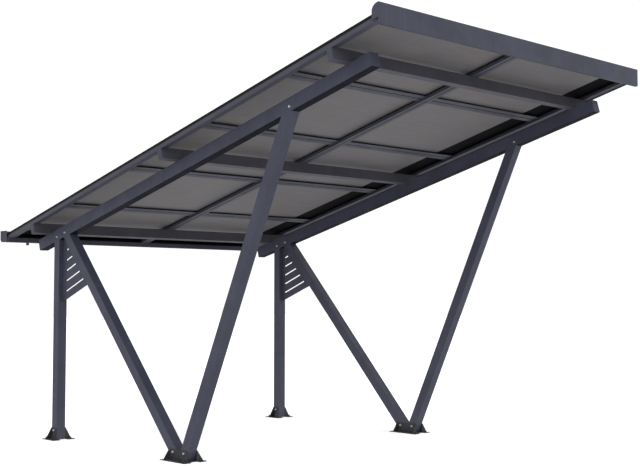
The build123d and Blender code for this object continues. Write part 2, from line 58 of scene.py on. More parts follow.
# Side frames
FRAME_X = 1.595
TUBE = 0.1
TUBE_WALL = 0.004
RAFTER_DEPTH = 0.12
RAFTER_ENDS = (-4.784, 0.416)
SHOE_WALL = 0.006
GUSSET_STRIP = 0.004

# The rear struts' axis from the post's front face: its foot, its run up and the way to the gusset
STRUT_FOOT = Vector((0, -2.134, 0))
STRUT_RUN = (Vector((0, -0.142, 2.17639)) - STRUT_FOOT).normalized()
REAR_STRUT = (STRUT_FOOT, STRUT_RUN, Vector((0, STRUT_RUN.z, -STRUT_RUN.y)))

# Purlins and rails, down the slope and above the rafters' undersides
PURLIN_LINES = (0.193, -2.1965, -4.541)
PURLIN_WIDTH = 0.06
PURLIN_DEPTH = 0.11
PURLIN_WALL = 0.003
PURLIN_END_X = 1.837
RAIL_ENDS = (-5.122, 0.798)
SIDE_RAIL_X = 1.84
SIDE_RAIL_SKIRT = 0.012

# The side rails' rebate for the seals, and how far the seals clear it or stand out of it
SEAL_INNER_X = 1.834
SEAL_BASE = 0.258
SEAL_TOP = 0.283
SEAL_LIFT = 0.0004
SEAL_CROWN = 0.0012
SEAL_BULGE = 0.0025
SEAL_ROUNDING = 0.0022

# Roof panels
PANEL_SIZE = (1.77, 1.134, 0.025)
PANEL_FLANGE = 0.03
PANEL_X = 0.906
PANEL_BASE = 0.258
PANEL_ROWS = 5
LOW_PANEL_LINE = 0.23
ROW_PITCH = 1.196

# Section of the panels' frames, with the groove that holds the laminate
FRAME_WALL = 0.0025
FRAME_FLOOR = 0.002
FRAME_LIP = 0.011
FRAME_EDGE = 0.0006
GROOVE_BACK = 0.003
GROOVE = (PANEL_SIZE[2] - 0.0058, PANEL_SIZE[2] - 0.0008)
LAMINATE_INSET = 0.0035
LAMINATE_FIT = 0.0001

# Cells: half cells along each half of a panel, from beside its middle, and whole ones across it
HALF_CELLS = 9
CELLS_ACROSS = 6
MIDDLE_GAP = 0.008
CELL_CORNER = 0.007
BUSBARS = 10

# End caps
CAP_ROUNDING = 0.0009
PLUG_FIT = 0.0004
PLUG_LENGTH = 0.02
PLUG_DROP = 0.0001
PLUG_ROUNDING = 0.001
SKIRT_GAP = 0.0005

# Bolts and nuts, as multiples of their thread
WASHER_RADIUS = 1.0
WASHER_TOP = 0.2
HEXAGON_WIDTH = 1.58
HEAD_TOP = 0.84
NUT_TOP = 1.0

# Places of the bolts: down the slope and above the rafters' undersides, and behind the posts'
# front faces and above the ground. The threads stand out of their nuts
RAFTER_BOLTS = (0.038, -0.124, -3.798)
RAFTER_BOLT_LINE = 0.042
FOOT_BOLTS = ((0.05, 0.097), (-2.234, 0.078), (-2.066, 0.078))
BOLT_REACH = 0.006

# Screws of the gussets' strips: heights on the posts, distances up the struts, and half a row
POST_SCREWS = (1.5, 1.72, 1.94)
STRUT_SCREWS = (2.33, 2.56, 2.79)
SCREW_X = 0.012

# Anchors: each foot's middle behind the posts' front faces, and half the spacing of its holes
ANCHORED_FEET = (("post", 0.05, 0.085), ("v", -2.15, 0.07))
ANCHOR_X = 0.095
FLANGE = 0.006
STUD_BASE = 0.0004
STUD_REACH = 0.01

# Studio
FLOOR_HALF = 60
FLOOR_DROP = 0.0006
KEY_PLACE = Vector((-9, -9, 7))
KEY_AIM = Vector((0, 0, 1.8))
KEY_SIZE = 7
SEEN_WHITE = 1.1
LIGHT_RIGHT_LEFT = (0.88, 1.1)
LIGHT_REAR_FRONT = (0.86, 1.16)
CAMERA_PLACE = (-8.0965, -8.6861, 1.5498)
CAMERA_TURN = (radians(90 + 3.115), radians(-0.053), radians(-44.07))
SENSOR = 36

SIDES = {"left": -1, "right": 1}


# Shaders


def new_finish(name):
    """An empty node material with a Principled shader."""
    material = bpy.data.materials.new(name)
    material.use_nodes = True
    tree = material.node_tree
    tree.nodes.clear()
    output = tree.nodes.new("ShaderNodeOutputMaterial")
    shader = tree.nodes.new("ShaderNodeBsdfPrincipled")
    tree.links.new(shader.outputs["BSDF"], output.inputs["Surface"])
    return material, tree, shader


def plug(tree, socket, value):
    """Links another socket to this one, or sets its value."""
    if isinstance(value, bpy.types.NodeSocket):
        tree.links.new(value, socket)
    else:
        socket.default_value = value


def add_node(tree, kind, inputs=None, **settings):
    node = tree.nodes.new("ShaderNode" + kind)
    for key, value in settings.items():
        setattr(node, key, value)
    for key, value in (inputs or {}).items():
        plug(tree, node.inputs[key], value)
    return node


def object_place(tree, scale=(1, 1, 1), turn=(0, 0, 0), shift=(0, 0, 0)):
    place = add_node(tree, "TexCoord").outputs["Object"]
    if (scale, turn, shift) == ((1, 1, 1), (0, 0, 0), (0, 0, 0)):
        return place
    inputs = {"Vector": place, "Scale": scale, "Rotation": turn, "Location": shift}
    return add_node(tree, "Mapping", inputs).outputs["Vector"]


def slope_place(tree, scale=(1, 1, 1)):
    """Object coordinates turned onto the roof: across, down the slope and square to it."""
    shift = Matrix.Rotation(PITCH, 3, "X") @ Vector((0, -POST_FRONT_Y, -POST_HEIGHT))
    turned = object_place(tree, turn=(PITCH, 0, 0), shift=tuple(shift))
    if scale == (1, 1, 1):
        return turned
    return add_node(tree, "Mapping", {"Vector": turned, "Scale": scale}).outputs["Vector"]


def noise(tree, vector, scale, detail=4.0, rough=0.55):
    inputs = {"Vector": vector, "Scale": scale, "Detail": detail, "Roughness": rough}
    return add_node(tree, "TexNoise", inputs).outputs["Fac"]


def maths(tree, operation, *values):
    node = add_node(tree, "Math", operation=operation)
    for socket, value in zip(node.inputs, values):
        plug(tree, socket, value)
    return node.outputs[0]


def fade(tree, value, start, end, low=0.0, high=1.0):
    """A smooth step from one value to another."""
    inputs = {"Value": value, "From Min": start, "From Max": end, "To Min": low, "To Max": high}
    return add_node(tree, "MapRange", inputs, interpolation_type="SMOOTHSTEP").outputs["Result"]


def product(tree, *values):
    made = values[0]
    for value in values[1:]:
        made = maths(tree, "MULTIPLY", made, value)
    return made


def blend_colours(tree, amount, first, second):
    node = add_node(tree, "Mix", data_type="RGBA")
    plug(tree, node.inputs[0], amount)
    plug(tree, node.inputs[6], first)
    plug(tree, node.inputs[7], second)
    return node.outputs[2]


def two_shades(tree, shader, amount, colour, dark, light):
    """Base colour between two multiples of a colour."""
    shade = blend_colours(tree, amount, rgba(colour, dark), rgba(colour, light))
    tree.links.new(shade, shader.inputs["Base Color"])


def rgba(colour, gain=1.0):
    return (*(min(1.0, part * gain) for part in colour), 1.0)


def split(tree, vector):
    return add_node(tree, "SeparateXYZ", {"Vector": vector}).outputs


def bumped(tree, shader, height, strength, distance):
    inputs = {"Height": height, "Strength": strength, "Distance": distance}
    tree.links.new(add_node(tree, "Bump", inputs).outputs["Normal"], shader.inputs["Normal"])


def powder_coat(name, colour, settings, grime=1.0, under=1.0):
    """Fine-grained matt powder coat with rain marks, dust on top and splashes near the ground.
    The faces that look down get a painted tone, a multiple of the colour: painted shade where it is
    below one, painted light where it is above one, and less gloss where it is darker."""
    material, tree, shader = new_finish(name)
    place = object_place(tree)
    cloud = noise(tree, place, 2.3, 5)
    shade = blend_colours(tree, fade(tree, cloud, 0.35, 0.65), rgba(colour, 0.9), rgba(colour, 1.1))

    streaked = object_place(tree, scale=(38, 38, 0.9))
    streak = noise(tree, streaked, 1.0, 3)
    wash = product(tree, fade(tree, streak, 0.5, 0.75), 0.3 * grime)
    shade = blend_colours(tree, wash, shade, rgba(colour, 1.5))

    facing = split(tree, add_node(tree, "NewGeometry").outputs["Normal"])["Z"]
    # Painted tone on faces that look down: painted shade below one, painted light above one
    shade = blend_colours(tree, fade(tree, facing, -0.5, -0.9), shade, rgba(colour, under))
    speckle = fade(tree, noise(tree, place, 26, 6), 0.3, 0.7)
    top = product(tree, fade(tree, facing, 0.7, 0.95), speckle, settings.dust * grime)
    shade = blend_colours(tree, top, shade, rgba(settings.dust_colour))

    height = split(tree, place)["Z"]
    drops = fade(tree, noise(tree, place, 55, 5), 0.42, 0.7)
    splash = product(tree, fade(tree, height, 0.28, 0.0), drops, 0.3 * grime)
    shade = blend_colours(tree, splash, shade, rgba(settings.dust_colour, 0.8))

    tree.links.new(shade, shader.inputs["Base Color"])
    smooth, rough = settings.roughness - 0.06, settings.roughness + 0.08
    roughness = fade(tree, noise(tree, place, 7, 4), 0.3, 0.7, smooth, rough)
    tree.links.new(roughness, shader.inputs["Roughness"])
    gloss = fade(tree, facing, -0.5, -0.9, 0.24, 0.24 * min(1, under**2))
    tree.links.new(gloss, shader.inputs["Specular IOR Level"])
    bumped(tree, shader, noise(tree, place, 420, 2), 0.18, 0.0006)
    return material


def dark_rubber(name, colour):
    """Dull rubber with a faint bloom."""
    material, tree, shader = new_finish(name)
    place = object_place(tree)
    bloom = fade(tree, noise(tree, place, 9, 5), 0.45, 0.75)
    two_shades(tree, shader, bloom, colour, 1.0, 1.5)
    roughness = fade(tree, noise(tree, place, 60, 3), 0.3, 0.7, 0.6, 0.8)
    tree.links.new(roughness, shader.inputs["Roughness"])
    shader.inputs["Specular IOR Level"].default_value = 0.15
    bumped(tree, shader, noise(tree, place, 300, 2), 0.2, 0.0004)
    return material


def flaked_zinc(name, colour):
    """Zinc plating, bright or weathered, with its flakes."""
    material, tree, shader = new_finish(name)
    place = object_place(tree)
    flake = fade(tree, noise(tree, place, 140, 4), 0.3, 0.7)
    two_shades(tree, shader, flake, colour, 0.8, 1.15)
    roughness = fade(tree, noise(tree, place, 220, 3), 0.3, 0.7, 0.28, 0.5)
    tree.links.new(roughness, shader.inputs["Roughness"])
    shader.inputs["Metallic"].default_value = 0.9
    bumped(tree, shader, noise(tree, place, 900, 2), 0.15, 0.0002)
    return material


def black_anodised(name, colour):
    """Brushed and anodised panel frames."""
    material, tree, shader = new_finish(name)
    place = slope_place(tree)
    grain = noise(tree, slope_place(tree, (4, 500, 500)), 1.0, 3)
    mottled = fade(tree, noise(tree, place, 5, 4), 0.3, 0.7)
    two_shades(tree, shader, mottled, colour, 0.85, 1.2)
    tree.links.new(fade(tree, grain, 0.3, 0.7, 0.34, 0.46), shader.inputs["Roughness"])
    shader.inputs["Metallic"].default_value = 0.35
    bumped(tree, shader, grain, 0.06, 0.0002)
    return material


def back_sheet(name, settings):
    """Underside of a panel: mottled sheet, warmer in places, with strands and faint cell lines."""
    material, tree, shader = new_finish(name)
    place = slope_place(tree)
    sides = split(tree, place)
    colour = settings.sheet_colour
    cloud = fade(tree, noise(tree, place, 1.7, 5), 0.35, 0.65)
    shade = blend_colours(tree, cloud, rgba(colour, 0.93), rgba(colour, 1.06))
    warm = fade(tree, noise(tree, slope_place(tree, (1, 1, 3)), 3.6, 4), 0.4, 0.65)
    tint = (colour[0] * 1.08, colour[1] * 0.99, colour[2] * 0.92)
    shade = blend_colours(tree, product(tree, warm, 0.8), shade, rgba(tint))
    strand = fade(tree, noise(tree, slope_place(tree, (2.5, 95, 1)), 1.0, 3), 0.45, 0.7)
    shade = blend_colours(tree, product(tree, strand, 0.7), shade, rgba(colour, 0.8))
    cell = maths(tree, "WRAP", maths(tree, "ABSOLUTE", sides["X"]), 0.047, -0.047)
    line = fade(tree, maths(tree, "ABSOLUTE", cell), 0.0465, 0.0455, 1.0, 0.0)
    shade = blend_colours(tree, product(tree, line, 0.1), shade, rgba(colour, 0.7))
    tree.links.new(shade, shader.inputs["Base Color"])
    tree.links.new(fade(tree, cloud, 0, 1, 0.5, 0.62), shader.inputs["Roughness"])
    shader.inputs["Specular IOR Level"].default_value = 0.25
    bumped(tree, shader, strand, 0.08, 0.0006)
    return material


def black_band(name, colour):
    """Dull black band on the back sheets."""
    material, tree, shader = new_finish(name)
    cloud = fade(tree, noise(tree, slope_place(tree), 6, 4), 0.3, 0.7)
    two_shades(tree, shader, cloud, colour, 0.8, 1.4)
    shader.inputs["Roughness"].default_value = 0.8
    shader.inputs["Specular IOR Level"].default_value = 0.04
    return material


def cell_glass(name, settings):
    """Top of a panel: half-cut cells with busbars behind clear glass, dustiest at the low edge."""
    material, tree, shader = new_finish(name)
    sides = split(tree, slope_place(tree))
    along = maths(tree, "SUBTRACT", maths(tree, "ABSOLUTE", sides["X"]), PANEL_X)
    from_row = maths(tree, "SUBTRACT", sides["Y"], LOW_PANEL_LINE)
    down = maths(tree, "WRAP", from_row, ROW_PITCH / 2, -ROW_PITCH / 2)
    pitch = settings.cell_size
    half = pitch / 2
    from_middle = maths(tree, "SUBTRACT", maths(tree, "ABSOLUTE", along), MIDDLE_GAP)
    cell_x = maths(tree, "WRAP", from_middle, half, 0.0)
    cell_s = maths(tree, "WRAP", down, half, -half)
    edge_x = maths(tree, "MINIMUM", cell_x, maths(tree, "SUBTRACT", half, cell_x))
    edge_s = maths(tree, "SUBTRACT", half, maths(tree, "ABSOLUTE", cell_s))
    inside = fade(tree, maths(tree, "MINIMUM", edge_x, edge_s), 0.0006, 0.0012)
    corner = maths(tree, "GREATER_THAN", maths(tree, "ADD", edge_x, edge_s), CELL_CORNER)
    end_x, end_s = MIDDLE_GAP + HALF_CELLS * half, CELLS_ACROSS / 2 * pitch
    within_x = maths(tree, "LESS_THAN", maths(tree, "ABSOLUTE", along), end_x)
    within_s = maths(tree, "LESS_THAN", maths(tree, "ABSOLUTE", down), end_s)
    cell = product(tree, inside, corner, product(tree, within_x, within_s))
    varied = noise(tree, slope_place(tree, (5.4, 5.4, 1)), 1.0, 1)
    colour = settings.cell_colour
    cell_shade = blend_colours(tree, varied, rgba(colour, 0.75), rgba(colour, 1.3))
    shade = blend_colours(tree, cell, rgba(settings.border_colour, 1.5), cell_shade)
    bar = maths(tree, "WRAP", cell_s, half / BUSBARS, -half / BUSBARS)
    bar = fade(tree, maths(tree, "ABSOLUTE", bar), 0.0007, 0.0003)
    bar = product(tree, bar, product(tree, cell, 0.5))
    shade = blend_colours(tree, bar, shade, (0.2, 0.2, 0.21, 1))
    film = fade(tree, noise(tree, slope_place(tree, (6, 1.4, 1)), 1.0, 6), 0.4, 0.8)
    gather = fade(tree, down, 0.30, 0.56)
    film = product(tree, maths(tree, "ADD", product(tree, film, 0.4), gather), settings.dust)
    shade = blend_colours(tree, film, shade, (0.25, 0.24, 0.22, 1))
    tree.links.new(shade, shader.inputs["Base Color"])
    tree.links.new(fade(tree, film, 0.0, 0.3, 0.12, 0.4), shader.inputs["Roughness"])
    shader.inputs["Coat Weight"].default_value = 0.6
    shader.inputs["Coat Roughness"].default_value = 0.08
    return material


def pale_floor(name, colour):
    """Pale floor, partly lit from within so that it stays white under the roof."""
    material, tree, shader = new_finish(name)
    place = object_place(tree)
    cloud = noise(tree, place, 0.4, 3)
    two_shades(tree, shader, cloud, colour, 0.985, 1.0)
    shader.inputs["Roughness"].default_value = 0.9
    shader.inputs["Specular IOR Level"].default_value = 0.1
    shader.inputs["Emission Color"].default_value = rgba(colour)
    shader.inputs["Emission Strength"].default_value = 0.5
    return material


# Mesh tools


def make_piece(name, bm, *finishes, slot=None):
    """Turns a bmesh into a piece that rides on the frame."""
    mesh = bpy.data.meshes.new(name)
    bm.to_mesh(mesh)
    bm.free()
    for finish in finishes:
        mesh.materials.append(finish)
    piece = bpy.data.objects.new(name, mesh)
    bpy.context.scene.collection.objects.link(piece)
    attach(piece, "root")
    return piece


def bevel_edges(bm, edges, offset, segments):
    return bmesh.ops.bevel(
        bm, geom=edges, offset=offset, segments=segments, affect="EDGES", profile=0.5, material=-1
    )


def add_block(bm, low, high, round_edges=0.0, segments=2):
    """A block between two corners, with its edges rounded."""
    low, high = Vector(low), Vector(high)
    matrix = Matrix.Translation((low + high) / 2) @ Matrix.Diagonal((*(high - low), 1))
    verts = bmesh.ops.create_cube(bm, size=1, matrix=matrix)["verts"]
    if round_edges:
        edges = list({edge for vert in verts for edge in vert.link_edges})
        bevel_edges(bm, edges, round_edges, segments)


def mitred_ring(bm, half_x, half_y, section):
    """A section of (inset, height) points swept round a rectangle with mitred corners."""
    start = [bm.verts.new((half_x - inset, half_y - inset, height)) for inset, height in section]
    loop = [bm.edges.new(pair) for pair in zip(start, start[1:] + start[:1])]
    ring = set(start)
    for across in (True, False, True, False):
        made = bmesh.ops.extrude_edge_only(bm, edges=loop)["geom"]
        verts = [item for item in made if isinstance(item, bmesh.types.BMVert)]
        turn = Matrix.Diagonal((-1, 1, 1, 1) if across else (1, -1, 1, 1))
        bmesh.ops.transform(bm, matrix=turn, verts=verts)
        fresh = set(verts)
        loop = [e for e in made if isinstance(e, bmesh.types.BMEdge) and set(e.verts) <= fresh]
        ring |= fresh
    bmesh.ops.remove_doubles(bm, verts=list(ring), dist=0.00001)
    ring = {vert for vert in ring if vert.is_valid}
    faces = list({face for vert in ring for face in vert.link_faces})
    bmesh.ops.recalc_face_normals(bm, faces=faces)


def turned_to(place, direction):
    """Matrix that puts a piece made along +Z at a place, pointing in a direction."""
    turn = Vector(direction).to_track_quat("Z", "Y").to_matrix().to_4x4()
    return Matrix.Translation(place) @ turn


def add_disc(bm, radius, low, high, segments, matrix, chamfer=0.0):
    """A round or six-sided block between two heights, with its upper rim chamfered."""
    made = bmesh.ops.create_cone(
        bm,
        segments=segments,
        radius1=radius,
        radius2=radius,
        depth=high - low,
        cap_ends=True,
        matrix=Matrix.Translation((0, 0, (low + high) / 2)),
    )["verts"]
    verts = made
    if chamfer:
        edges = {edge for vert in made for edge in vert.link_edges}
        rim = [edge for edge in edges if all(vert.co.z > high - 1e-6 for vert in edge.verts)]
        cut = bevel_edges(bm, rim, chamfer, 1)["faces"]
        kept = {vert for vert in made if vert.is_valid}
        verts = list(kept | {vert for face in cut for vert in face.verts})
    bmesh.ops.transform(bm, matrix=matrix, verts=verts)


def add_hexagon(bm, size, top, matrix):
    """A bolt's head or a nut, on its washer, for the given thread."""
    add_disc(bm, WASHER_RADIUS * size, 0.0, WASHER_TOP * size, 20, matrix, 0.04 * size)
    radius = HEXAGON_WIDTH * size / sqrt(3)
    add_disc(bm, radius, WASHER_TOP * size, top * size, 6, matrix, 0.1 * size)


def add_nut(bm, size, reach, matrix):
    """Nut on a washer, with the thread's end standing out of it."""
    add_hexagon(bm, size, NUT_TOP, matrix)
    add_disc(bm, 0.5 * size, NUT_TOP * size, NUT_TOP * size + reach, 14, matrix, 0.1 * size)


def add_cross_bolt(bm, size, sign, middle, half, turn):
    """A bolt across a side frame, with its head on the outer side and its nut on the inner."""
    for face in (-1, 1):
        place = turn @ Vector((middle[0] + face * half, middle[1], middle[2]))
        matrix = turned_to(place, (face, 0, 0))
        if face == sign:
            add_hexagon(bm, size, HEAD_TOP, matrix)
        else:
            add_nut(bm, size, BOLT_REACH, matrix)


# Settings


class CarportCoat(bpy.types.PropertyGroup):
    """Powder coat of the frame"""

    frame_colour: FloatVectorProperty(
        name="Frame",
        description="Coat of the side frames",
        subtype="COLOR",
        default=(0.044, 0.047, 0.072),
    )
    purlin_colour: FloatVectorProperty(
        name="Purlins",
        description="Coat of the purlins",
        subtype="COLOR",
        default=(0.052, 0.052, 0.065),
    )
    rail_colour: FloatVectorProperty(
        name="Rails", description="Coat of the rails", subtype="COLOR", default=(0.048, 0.05, 0.068)
    )
    foot_colour: FloatVectorProperty(
        name="Feet",
        description="Coat of the foot shoes",
        subtype="COLOR",
        default=(0.022, 0.023, 0.031),
    )
    fascia_colour: FloatVectorProperty(
        name="Fascia",
        description="Coat of the fascia",
        subtype="COLOR",
        default=(0.043, 0.046, 0.069),
    )
    gutter_colour: FloatVectorProperty(
        name="Gutter",
        description="Coat of the gutter",
        subtype="COLOR",
        default=(0.04, 0.042, 0.06),
    )
    dust_colour: FloatVectorProperty(
        name="Dust", description="Dust and splashes", subtype="COLOR", default=(0.2, 0.19, 0.17)
    )
    roughness: FloatProperty(
        name="Roughness", description="Middle roughness of the coat", default=0.5, min=0.1, max=1
    )
    dust: FloatProperty(
        name="Dust amount", description="Dust on faces that look up", default=0.35, min=0, max=1
    )


class CarportPanels(bpy.types.PropertyGroup):
    """Roof panels"""

    cell_colour: FloatVectorProperty(
        name="Cells",
        description="Photovoltaic cells",
        subtype="COLOR",
        default=(0.006, 0.009, 0.021),
    )
    frame_colour: FloatVectorProperty(
        name="Panel frames",
        description="Anodised frames",
        subtype="COLOR",
        default=(0.012, 0.012, 0.014),
    )
    sheet_colour: FloatVectorProperty(
        name="Back sheets",
        description="Undersides of the panels",
        subtype="COLOR",
        default=(0.145, 0.139, 0.149),
    )
    border_colour: FloatVectorProperty(
        name="Borders",
        description="Black borders of the sheets",
        subtype="COLOR",
        default=(0.004, 0.004, 0.005),
    )
    cell_size: FloatProperty(
        name="Cell", description="Side of a whole cell", default=0.184, unit="LENGTH"
    )
    border_x: FloatProperty(
        name="Right border",
        description="Where the right column's black border starts",
        default=1.504,
        unit="LENGTH",
    )
    border_s: FloatProperty(
        name="Low border",
        description="Where the low row's black border starts",
        default=0.543,
        unit="LENGTH",
    )
    dust: FloatProperty(
        name="Dust", description="Film of dust on the glass", default=0.12, min=0, max=1
    )


class CarportFixings(bpy.types.PropertyGroup):
    """Bolts, screws, caps and seals"""

    bolt: FloatProperty(
        name="Bolts", description="Thread of the bolts", default=0.012, unit="LENGTH"
    )
    screw: FloatProperty(
        name="Screws", description="Thread of the gussets' screws", default=0.006, unit="LENGTH"
    )
    cap_plate: FloatProperty(
        name="Cap plate", description="Thickness of the end caps", default=0.003, unit="LENGTH"
    )
    zinc_colour: FloatVectorProperty(
        name="Zinc", description="Plating of bolts", subtype="COLOR", default=(0.55, 0.56, 0.58)
    )
    anchor_colour: FloatVectorProperty(
        name="Anchors",
        description="Weathered anchor bolts",
        subtype="COLOR",
        default=(0.06, 0.06, 0.065),
    )
    rubber_colour: FloatVectorProperty(
        name="Rubber", description="Edge seals", subtype="COLOR", default=(0.005, 0.005, 0.006)
    )


class CarportStudio(bpy.types.PropertyGroup):
    """Floor, light and camera"""

    floor_colour: FloatVectorProperty(
        name="Floor", description="Pale floor", subtype="COLOR", default=(0.93, 0.93, 0.935)
    )
    sky: FloatProperty(
        name="Sky", description="Strength of the light from straight above", default=1.1
    )
    ground: FloatProperty(
        name="Ground", description="Strength of the light from below", default=0.95
    )
    key: FloatProperty(
        name="Key light", description="Power of the large soft light", default=150, unit="POWER"
    )
    lens: FloatProperty(name="Lens", description="Focal length in millimetres", default=63.64)


# Operators


class CARPORT_OT_coat(bpy.types.Operator):
    """Give the frame, rails, fascia and gutter their powder coat"""

    bl_idname = "carport.coat"
    bl_label = "Powder Coat"

    def execute(self, context):
        coat = context.scene.carport_coat
        # Undersides: painted shade on the tubes, painted light on the purlins, rails and gutter
        tubes = powder_coat("anthracite_powder_coat", coat.frame_colour, coat, under=0.25)
        purlins = powder_coat("purlin_powder_coat", coat.purlin_colour, coat, under=1.45)
        rails = powder_coat("rail_powder_coat", coat.rail_colour, coat, under=1.2)
        feet = powder_coat("foot_powder_coat", coat.foot_colour, coat, 0.8)
        fascia = powder_coat("fascia_powder_coat", coat.fascia_colour, coat)
        gutter = powder_coat("gutter_powder_coat", coat.gutter_colour, coat, under=2.5)
        coats = {"foot": feet, "purlin": purlins, "rail": rails, "gutter": gutter, "fascia": fascia}
        for name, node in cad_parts.items():
            if name.startswith("roof_panel"):
                continue
            finish = next((made for word, made in coats.items() if word in name), tubes)
            if not node.material_slots:
                raise RuntimeError(f"{name} has no material slot")
            for slot in node.material_slots:
                slot.material = finish
        return {"FINISHED"}


class CARPORT_OT_panels(bpy.types.Operator):
    """Build the ten framed photovoltaic panels"""

    bl_idname = "carport.panels"
    bl_label = "Roof Panels"

    def execute(self, context):
        panels = context.scene.carport_panels
        anodised = black_anodised("black_anodised_frame", panels.frame_colour)
        glass = cell_glass("cell_glass", panels)
        sheet = back_sheet("panel_back_sheet", panels)
        border = black_band("black_sheet_border", panels.border_colour)
        length, width, depth = PANEL_SIZE
        groove_low, groove_high = GROOVE
        section = [
            (0, 0),
            (PANEL_FLANGE, 0),
            (PANEL_FLANGE, FRAME_FLOOR),
            (FRAME_WALL, FRAME_FLOOR),
            (FRAME_WALL, groove_low - FRAME_FLOOR),
            (FRAME_LIP, groove_low - FRAME_FLOOR),
            (FRAME_LIP, groove_low),
            (GROOVE_BACK, groove_low),
            (GROOVE_BACK, groove_high),
            (FRAME_LIP, groove_high),
            (FRAME_LIP, depth),
            (FRAME_EDGE, depth),
            (0, depth - FRAME_EDGE),
        ]
        far = (length / 2 - LAMINATE_INSET, width / 2 - LAMINATE_INSET, groove_high - LAMINATE_FIT)
        near = (LAMINATE_INSET - length / 2, LAMINATE_INSET - width / 2, groove_low + LAMINATE_FIT)
        for row in range(PANEL_ROWS):
            line = LOW_PANEL_LINE - row * ROW_PITCH
            for side, sign in SIDES.items():
                bm = bmesh.new()
                mitred_ring(bm, length / 2, width / 2, section)
                before = set(bm.faces)
                add_block(bm, near, far)
                edges = []
                if side == "right":
                    edges.append((Vector((1, 0, 0)), panels.border_x - PANEL_X))
                if row == 0:
                    edges.append((Vector((0, 1, 0)), panels.border_s - line))
                for across, place in edges:
                    laminate = set(bm.faces) - before
                    corners = {vert for face in laminate for vert in face.verts}
                    rims = {edge for face in laminate for edge in face.edges}
                    cut = [*corners, *rims, *laminate]
                    bmesh.ops.bisect_plane(bm, geom=cut, plane_co=across * place, plane_no=across)
                for face in set(bm.faces) - before:
                    middle = face.calc_center_median()
                    bordered = any(middle.dot(across) > place for across, place in edges)
                    face.material_index = 1 if face.normal.z > 0.5 else 2
                    if face.normal.z < -0.5 and bordered:
                        face.material_index = 3
                matrix = SLOPE @ Matrix.Translation((sign * PANEL_X, line, PANEL_BASE))
                bmesh.ops.transform(bm, matrix=matrix, verts=bm.verts)
                name = f"solar_panel_{side}_{row + 1}"
                piece = make_piece(name, bm, anodised, glass, sheet, border, slot="roof_panel")
                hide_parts(f"roof_panel_{side}_{row + 1}")
        return {"FINISHED"}


class CARPORT_OT_seals(bpy.types.Operator):
    """Press the black edge seals into the side rails"""

    bl_idname = "carport.seals"
    bl_label = "Edge Seals"

    def execute(self, context):
        rubber = dark_rubber("black_edge_rubber", context.scene.carport_fixings.rubber_colour)
        for side, sign in SIDES.items():
            bm = bmesh.new()
            inner = (sign * SEAL_INNER_X, RAIL_ENDS[0], SEAL_BASE + SEAL_LIFT)
            outer = (sign * (SIDE_RAIL_X + SEAL_BULGE), RAIL_ENDS[1], SEAL_TOP + SEAL_CROWN)
            low, high = map(min, inner, outer), map(max, inner, outer)
            add_block(bm, tuple(low), tuple(high), SEAL_ROUNDING, 3)
            bmesh.ops.transform(bm, matrix=SLOPE, verts=bm.verts)
            make_piece(f"edge_seal_{side}", bm, rubber)
        return {"FINISHED"}


class CARPORT_OT_caps(bpy.types.Operator):
    """Close the ends of the rafters and the purlins with push-in caps"""

    bl_idname = "carport.caps"
    bl_label = "End Caps"

    def cap(self, bm, width, depth, cut, wall, plate, matrix):
        """A cap with rounded edges and a plug, its plate lying above z = 0 and the plug below it.
        The cut is what the plate leaves free for a skirt that hangs over the tube's end."""
        far = (width / 2, depth / 2 - cut, plate)
        add_block(bm, (-width / 2, -depth / 2, 0), far, CAP_ROUNDING, 2)
        plug_width = width / 2 - wall - PLUG_FIT
        plug_depth = depth / 2 - wall - PLUG_FIT
        far = (plug_width, plug_depth, -PLUG_DROP)
        add_block(bm, (-plug_width, -plug_depth, -PLUG_LENGTH), far, PLUG_ROUNDING, 1)
        bmesh.ops.transform(bm, matrix=matrix, verts=bm.verts)

    def execute(self, context):
        plate = context.scene.carport_fixings.cap_plate
        coat = context.scene.carport_coat
        finish = powder_coat("cap_plastic", coat.frame_colour, coat, 0.6)
        for side, sign in SIDES.items():
            for place, s, up in (("high", RAFTER_ENDS[0], -1), ("low", RAFTER_ENDS[1], 1)):
                bm = bmesh.new()
                middle = Vector((sign * FRAME_X, s, RAFTER_DEPTH / 2))
                axes = Matrix(((1, 0, 0), (0, 0, up), (0, 1, 0))).to_4x4()
                matrix = SLOPE @ Matrix.Translation(middle) @ axes
                self.cap(bm, TUBE, RAFTER_DEPTH, 0.0, TUBE_WALL, plate, matrix)
                bmesh.ops.recalc_face_normals(bm, faces=bm.faces)
                make_piece(f"rafter_cap_{side}_{place}", bm, finish)
            for place, line in zip(("low", "middle", "high"), PURLIN_LINES):
                bm = bmesh.new()
                middle = Vector((sign * PURLIN_END_X, line, RAFTER_DEPTH + PURLIN_DEPTH / 2))
                axes = Matrix(((0, 0, sign), (1, 0, 0), (0, 1, 0))).to_4x4()
                matrix = SLOPE @ Matrix.Translation(middle) @ axes
                cut = SIDE_RAIL_SKIRT + SKIRT_GAP
                self.cap(bm, PURLIN_WIDTH, PURLIN_DEPTH, cut, PURLIN_WALL, plate, matrix)
                bmesh.ops.recalc_face_normals(bm, faces=bm.faces)
                make_piece(f"purlin_cap_{side}_{place}", bm, finish)
        return {"FINISHED"}


class CARPORT_OT_bolts(bpy.types.Operator):
    """Bolt the rafters to the posts and struts, and the feet to both"""

    bl_idname = "carport.bolts"
    bl_label = "Frame Bolts"

    def execute(self, context):
        fixings = context.scene.carport_fixings
        zinc = flaked_zinc("zinc_plated_bolts", fixings.zinc_colour)
        size = fixings.bolt
        for side, sign in SIDES.items():
            x = sign * FRAME_X
            bm = bmesh.new()
            for s in RAFTER_BOLTS:
                add_cross_bolt(bm, size, sign, (x, s, RAFTER_BOLT_LINE), TUBE / 2, SLOPE)
            make_piece(f"rafter_bolts_{side}", bm, zinc)
            bm = bmesh.new()
            for u, z in FOOT_BOLTS:
                middle = (x, POST_FRONT_Y + u, z)
                add_cross_bolt(bm, size, sign, middle, TUBE / 2 + SHOE_WALL, Matrix())
            make_piece(f"foot_bolts_{side}", bm, zinc)
        return {"FINISHED"}


